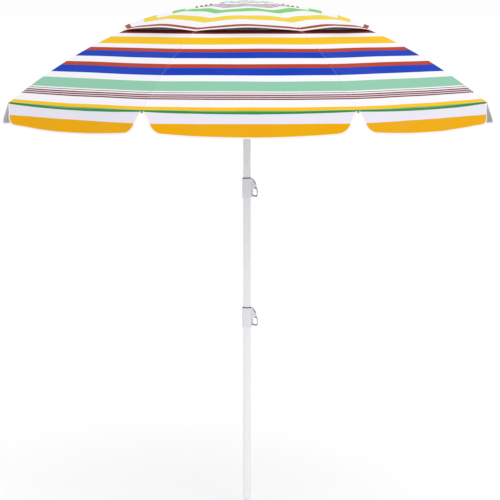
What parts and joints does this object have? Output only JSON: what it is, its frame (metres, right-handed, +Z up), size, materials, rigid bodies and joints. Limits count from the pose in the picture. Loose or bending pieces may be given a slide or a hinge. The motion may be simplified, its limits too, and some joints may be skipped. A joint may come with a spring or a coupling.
{
  "type": "beach umbrella",
  "caption": "Striped beach umbrella with a vented double canopy, loose valance, folding ribs and a telescoping pole with spring clips.",
  "frame": {"origin": "point of the ground tip, on the pole's axis", "axes": "+Z up along the pole, front panel faces -Y, clips point to +X"},
  "size_m": [1.7618, 1.7618, 1.9797],
  "materials": {
    "pole_paint": "gloss white powder coat",
    "tip_plastic": "white moulded",
    "collar_plastic": "white moulded",
    "seal_rubber": "dark grey",
    "clip_plastic": "grey moulded",
    "bright_steel": "zinc plated",
    "rib_steel": "grey coated",
    "crown_plastic": "white moulded",
    "canopy_cloth": "woven polyester printed with stripes, grey coated underneath",
    "vent_cloth": "woven polyester printed with stripes, grey coated underneath",
    "valance_cloth": "woven polyester printed with stripes, grey coated underneath"
  },
  "bodies": {
    "base": {"pole_lower": "pole_paint", "ground_tip": "tip_plastic", "lower_collar": "collar_plastic", "lower_seal_ring": "seal_rubber", "lower_clip_pin": "bright_steel", "lower_clip_spring": "bright_steel"},
    "lower_clip": {"lower_clip": "clip_plastic"},
    "middle": {"pole_middle": "pole_paint", "upper_collar": "collar_plastic", "upper_seal_ring": "seal_rubber", "upper_clip_pin": "bright_steel", "upper_clip_spring": "bright_steel"},
    "upper_clip": {"upper_clip": "clip_plastic"},
    "mast": {"pole_upper": "pole_paint", "crown_hub": "crown_plastic", "crown_wire": "bright_steel", "crown_washer": "crown_plastic", "finial": "crown_plastic"},
    "runner": {"runner": "crown_plastic"},
    "catch": {"runner_catch": "bright_steel"},
    "rib_1": {"rib_1": "rib_steel"},
    "strut_1": {"strut_1": "rib_steel"},
    "gore_1": {"canopy_panel_1": "canopy_cloth", "vent_panel_1": "vent_cloth"},
    "hem_1": {"valance_1": "valance_cloth"},
    "rib_2": {"rib_2": "rib_steel"},
    "strut_2": {"strut_2": "rib_steel"},
    "gore_2": {"canopy_panel_2": "canopy_cloth", "vent_panel_2": "vent_cloth"},
    "hem_2": {"valance_2": "valance_cloth"},
    "rib_3": {"rib_3": "rib_steel"},
    "strut_3": {"strut_3": "rib_steel"},
    "gore_3": {"canopy_panel_3": "canopy_cloth", "vent_panel_3": "vent_cloth"},
    "hem_3": {"valance_3": "valance_cloth"},
    "rib_4": {"rib_4": "rib_steel"},
    "strut_4": {"strut_4": "rib_steel"},
    "gore_4": {"canopy_panel_4": "canopy_cloth", "vent_panel_4": "vent_cloth"},
    "hem_4": {"valance_4": "valance_cloth"},
    "rib_5": {"rib_5": "rib_steel"},
    "strut_5": {"strut_5": "rib_steel"},
    "gore_5": {"canopy_panel_5": "canopy_cloth", "vent_panel_5": "vent_cloth"},
    "hem_5": {"valance_5": "valance_cloth"},
    "rib_6": {"rib_6": "rib_steel"},
    "strut_6": {"strut_6": "rib_steel"},
    "gore_6": {"canopy_panel_6": "canopy_cloth", "vent_panel_6": "vent_cloth"},
    "hem_6": {"valance_6": "valance_cloth"},
    "rib_7": {"rib_7": "rib_steel"},
    "strut_7": {"strut_7": "rib_steel"},
    "gore_7": {"canopy_panel_7": "canopy_cloth", "vent_panel_7": "vent_cloth"},
    "hem_7": {"valance_7": "valance_cloth"},
    "rib_8": {"rib_8": "rib_steel"},
    "strut_8": {"strut_8": "rib_steel"},
    "gore_8": {"canopy_panel_8": "canopy_cloth", "vent_panel_8": "vent_cloth"},
    "hem_8": {"valance_8": "valance_cloth"}
  },
  "joints": [
    {"name": "middle_slide", "type": "slide", "parent": "base", "child": "middle", "axis": [0, 0, 1], "range_m": [-0.396, 0]},
    {"name": "upper_slide", "type": "slide", "parent": "middle", "child": "mast", "axis": [0, 0, 1], "range_m": [-0.12, 0]},
    {"name": "lower_clip_pull", "type": "hinge", "parent": "base", "child": "lower_clip", "pos_m": [0.0283, 0, 0.761], "axis": [0, -1, 0], "range_deg": [0, 14], "stiffness_Nm_per_rad": 0.1},
    {"name": "upper_clip_pull", "type": "hinge", "parent": "middle", "child": "upper_clip", "pos_m": [0.0275, 0, 1.257], "axis": [0, -1, 0], "range_deg": [0, 14], "stiffness_Nm_per_rad": 0.1},
    {"name": "catch_press", "type": "slide", "parent": "mast", "child": "catch", "axis": [1, 0, 0], "range_m": [0, 0.0035], "stiffness_N_per_m": 400},
    {"name": "runner_slide", "type": "slide", "parent": "mast", "child": "runner", "axis": [0, 0, 1], "range_m": [-0.2796, 0]},
    {"name": "rib_fold_1", "type": "hinge", "parent": "mast", "child": "rib_1", "pos_m": [0.02032, 0.00842, 1.93], "axis": [-0.3827, 0.9239, 0], "range_deg": [0, 66.52]},
    {"name": "strut_fold_1", "type": "hinge", "parent": "rib_1", "child": "strut_1", "pos_m": [0.22173, 0.09184, 1.90038], "axis": [-0.3827, 0.9239, 0], "range_deg": [-105.73, 0]},
    {"name": "gore_fold_1", "type": "hinge", "parent": "rib_1", "child": "gore_1", "pos_m": [0.01684, 0.01684, 1.93], "axis": [-0.6048, -0.6048, -0.5181], "range_deg": [0, 48.47], "deforming": ["canopy_panel_1", "vent_panel_1"]},
    {"name": "hem_hang_1", "type": "hinge", "parent": "rib_1", "child": "hem_1", "pos_m": [0.84997, 0.35207, 1.5832], "axis": [-0.3827, 0.9239, 0], "range_deg": [-66.52, 0], "deforming": ["valance_1"]},
    {"name": "rib_fold_2", "type": "hinge", "parent": "mast", "child": "rib_2", "pos_m": [0.00842, 0.02032, 1.93], "axis": [-0.9239, 0.3827, 0], "range_deg": [0, 66.52]},
    {"name": "strut_fold_2", "type": "hinge", "parent": "rib_2", "child": "strut_2", "pos_m": [0.09184, 0.22173, 1.90038], "axis": [-0.9239, 0.3827, 0], "range_deg": [-105.73, 0]},
    {"name": "gore_fold_2", "type": "hinge", "parent": "rib_2", "child": "gore_2", "pos_m": [0, 0.02381, 1.93], "axis": [0, -0.8553, -0.5181], "range_deg": [0, 48.47], "deforming": ["canopy_panel_2", "vent_panel_2"]},
    {"name": "hem_hang_2", "type": "hinge", "parent": "rib_2", "child": "hem_2", "pos_m": [0.35207, 0.84997, 1.5832], "axis": [-0.9239, 0.3827, 0], "range_deg": [-66.52, 0], "deforming": ["valance_2"]},
    {"name": "rib_fold_3", "type": "hinge", "parent": "mast", "child": "rib_3", "pos_m": [-0.00842, 0.02032, 1.93], "axis": [-0.9239, -0.3827, 0], "range_deg": [0, 66.52]},
    {"name": "strut_fold_3", "type": "hinge", "parent": "rib_3", "child": "strut_3", "pos_m": [-0.09184, 0.22173, 1.90038], "axis": [-0.9239, -0.3827, 0], "range_deg": [-105.73, 0]},
    {"name": "gore_fold_3", "type": "hinge", "parent": "rib_3", "child": "gore_3", "pos_m": [-0.01684, 0.01684, 1.93], "axis": [0.6048, -0.6048, -0.5181], "range_deg": [0, 48.47], "deforming": ["canopy_panel_3", "vent_panel_3"]},
    {"name": "hem_hang_3", "type": "hinge", "parent": "rib_3", "child": "hem_3", "pos_m": [-0.35207, 0.84997, 1.5832], "axis": [-0.9239, -0.3827, 0], "range_deg": [-66.52, 0], "deforming": ["valance_3"]},
    {"name": "rib_fold_4", "type": "hinge", "parent": "mast", "child": "rib_4", "pos_m": [-0.02032, 0.00842, 1.93], "axis": [-0.3827, -0.9239, 0], "range_deg": [0, 66.52]},
    {"name": "strut_fold_4", "type": "hinge", "parent": "rib_4", "child": "strut_4", "pos_m": [-0.22173, 0.09184, 1.90038], "axis": [-0.3827, -0.9239, 0], "range_deg": [-105.73, 0]},
    {"name": "gore_fold_4", "type": "hinge", "parent": "rib_4", "child": "gore_4", "pos_m": [-0.02381, 0, 1.93], "axis": [0.8553, 0, -0.5181], "range_deg": [0, 48.47], "deforming": ["canopy_panel_4", "vent_panel_4"]},
    {"name": "hem_hang_4", "type": "hinge", "parent": "rib_4", "child": "hem_4", "pos_m": [-0.84997, 0.35207, 1.5832], "axis": [-0.3827, -0.9239, 0], "range_deg": [-66.52, 0], "deforming": ["valance_4"]},
    {"name": "rib_fold_5", "type": "hinge", "parent": "mast", "child": "rib_5", "pos_m": [-0.02032, -0.00842, 1.93], "axis": [0.3827, -0.9239, 0], "range_deg": [0, 66.52]},
    {"name": "strut_fold_5", "type": "hinge", "parent": "rib_5", "child": "strut_5", "pos_m": [-0.22173, -0.09184, 1.90038], "axis": [0.3827, -0.9239, 0], "range_deg": [-105.73, 0]},
    {"name": "gore_fold_5", "type": "hinge", "parent": "rib_5", "child": "gore_5", "pos_m": [-0.01684, -0.01684, 1.93], "axis": [0.6048, 0.6048, -0.5181], "range_deg": [0, 48.47], "deforming": ["canopy_panel_5", "vent_panel_5"]},
    {"name": "hem_hang_5", "type": "hinge", "parent": "rib_5", "child": "hem_5", "pos_m": [-0.84997, -0.35207, 1.5832], "axis": [0.3827, -0.9239, 0], "range_deg": [-66.52, 0], "deforming": ["valance_5"]},
    {"name": "rib_fold_6", "type": "hinge", "parent": "mast", "child": "rib_6", "pos_m": [-0.00842, -0.02032, 1.93], "axis": [0.9239, -0.3827, 0], "range_deg": [0, 66.52]},
    {"name": "strut_fold_6", "type": "hinge", "parent": "rib_6", "child": "strut_6", "pos_m": [-0.09184, -0.22173, 1.90038], "axis": [0.9239, -0.3827, 0], "range_deg": [-105.73, 0]},
    {"name": "gore_fold_6", "type": "hinge", "parent": "rib_6", "child": "gore_6", "pos_m": [0, -0.02381, 1.93], "axis": [0, 0.8553, -0.5181], "range_deg": [0, 48.47], "deforming": ["canopy_panel_6", "vent_panel_6"]},
    {"name": "hem_hang_6", "type": "hinge", "parent": "rib_6", "child": "hem_6", "pos_m": [-0.35207, -0.84997, 1.5832], "axis": [0.9239, -0.3827, 0], "range_deg": [-66.52, 0], "deforming": ["valance_6"]},
    {"name": "rib_fold_7", "type": "hinge", "parent": "mast", "child": "rib_7", "pos_m": [0.00842, -0.02032, 1.93], "axis": [0.9239, 0.3827, 0], "range_deg": [0, 66.52]},
    {"name": "strut_fold_7", "type": "hinge", "parent": "rib_7", "child": "strut_7", "pos_m": [0.09184, -0.22173, 1.90038], "axis": [0.9239, 0.3827, 0], "range_deg": [-105.73, 0]},
    {"name": "gore_fold_7", "type": "hinge", "parent": "rib_7", "child": "gore_7", "pos_m": [0.01684, -0.01684, 1.93], "axis": [-0.6048, 0.6048, -0.5181], "range_deg": [0, 48.47], "deforming": ["canopy_panel_7", "vent_panel_7"]},
    {"name": "hem_hang_7", "type": "hinge", "parent": "rib_7", "child": "hem_7", "pos_m": [0.35207, -0.84997, 1.5832], "axis": [0.9239, 0.3827, 0], "range_deg": [-66.52, 0], "deforming": ["valance_7"]},
    {"name": "rib_fold_8", "type": "hinge", "parent": "mast", "child": "rib_8", "pos_m": [0.02032, -0.00842, 1.93], "axis": [0.3827, 0.9239, 0], "range_deg": [0, 66.52]},
    {"name": "strut_fold_8", "type": "hinge", "parent": "rib_8", "child": "strut_8", "pos_m": [0.22173, -0.09184, 1.90038], "axis": [0.3827, 0.9239, 0], "range_deg": [-105.73, 0]},
    {"name": "gore_fold_8", "type": "hinge", "parent": "rib_8", "child": "gore_8", "pos_m": [0.02381, 0, 1.93], "axis": [-0.8553, 0, -0.5181], "range_deg": [0, 48.47], "deforming": ["canopy_panel_8", "vent_panel_8"]},
    {"name": "hem_hang_8", "type": "hinge", "parent": "rib_8", "child": "hem_8", "pos_m": [0.84997, -0.35207, 1.5832], "axis": [0.3827, 0.9239, 0], "range_deg": [-66.52, 0], "deforming": ["valance_8"]}
  ],
  "couplings": [
    {"joint": "rib_fold_1", "follows": "runner_slide", "rad_per_m": -4.1513},
    {"joint": "strut_fold_1", "follows": "runner_slide", "rad_per_m": 6.5987},
    {"joint": "gore_fold_1", "follows": "runner_slide", "rad_per_m": -3.0244},
    {"joint": "hem_hang_1", "follows": "runner_slide", "rad_per_m": 4.1513},
    {"joint": "rib_fold_2", "follows": "runner_slide", "rad_per_m": -4.1513},
    {"joint": "strut_fold_2", "follows": "runner_slide", "rad_per_m": 6.5987},
    {"joint": "gore_fold_2", "follows": "runner_slide", "rad_per_m": -3.0244},
    {"joint": "hem_hang_2", "follows": "runner_slide", "rad_per_m": 4.1513},
    {"joint": "rib_fold_3", "follows": "runner_slide", "rad_per_m": -4.1513},
    {"joint": "strut_fold_3", "follows": "runner_slide", "rad_per_m": 6.5987},
    {"joint": "gore_fold_3", "follows": "runner_slide", "rad_per_m": -3.0244},
    {"joint": "hem_hang_3", "follows": "runner_slide", "rad_per_m": 4.1513},
    {"joint": "rib_fold_4", "follows": "runner_slide", "rad_per_m": -4.1513},
    {"joint": "strut_fold_4", "follows": "runner_slide", "rad_per_m": 6.5987},
    {"joint": "gore_fold_4", "follows": "runner_slide", "rad_per_m": -3.0244},
    {"joint": "hem_hang_4", "follows": "runner_slide", "rad_per_m": 4.1513},
    {"joint": "rib_fold_5", "follows": "runner_slide", "rad_per_m": -4.1513},
    {"joint": "strut_fold_5", "follows": "runner_slide", "rad_per_m": 6.5987},
    {"joint": "gore_fold_5", "follows": "runner_slide", "rad_per_m": -3.0244},
    {"joint": "hem_hang_5", "follows": "runner_slide", "rad_per_m": 4.1513},
    {"joint": "rib_fold_6", "follows": "runner_slide", "rad_per_m": -4.1513},
    {"joint": "strut_fold_6", "follows": "runner_slide", "rad_per_m": 6.5987},
    {"joint": "gore_fold_6", "follows": "runner_slide", "rad_per_m": -3.0244},
    {"joint": "hem_hang_6", "follows": "runner_slide", "rad_per_m": 4.1513},
    {"joint": "rib_fold_7", "follows": "runner_slide", "rad_per_m": -4.1513},
    {"joint": "strut_fold_7", "follows": "runner_slide", "rad_per_m": 6.5987},
    {"joint": "gore_fold_7", "follows": "runner_slide", "rad_per_m": -3.0244},
    {"joint": "hem_hang_7", "follows": "runner_slide", "rad_per_m": 4.1513},
    {"joint": "rib_fold_8", "follows": "runner_slide", "rad_per_m": -4.1513},
    {"joint": "strut_fold_8", "follows": "runner_slide", "rad_per_m": 6.5987},
    {"joint": "gore_fold_8", "follows": "runner_slide", "rad_per_m": -3.0244},
    {"joint": "hem_hang_8", "follows": "runner_slide", "rad_per_m": 4.1513}
  ]
}
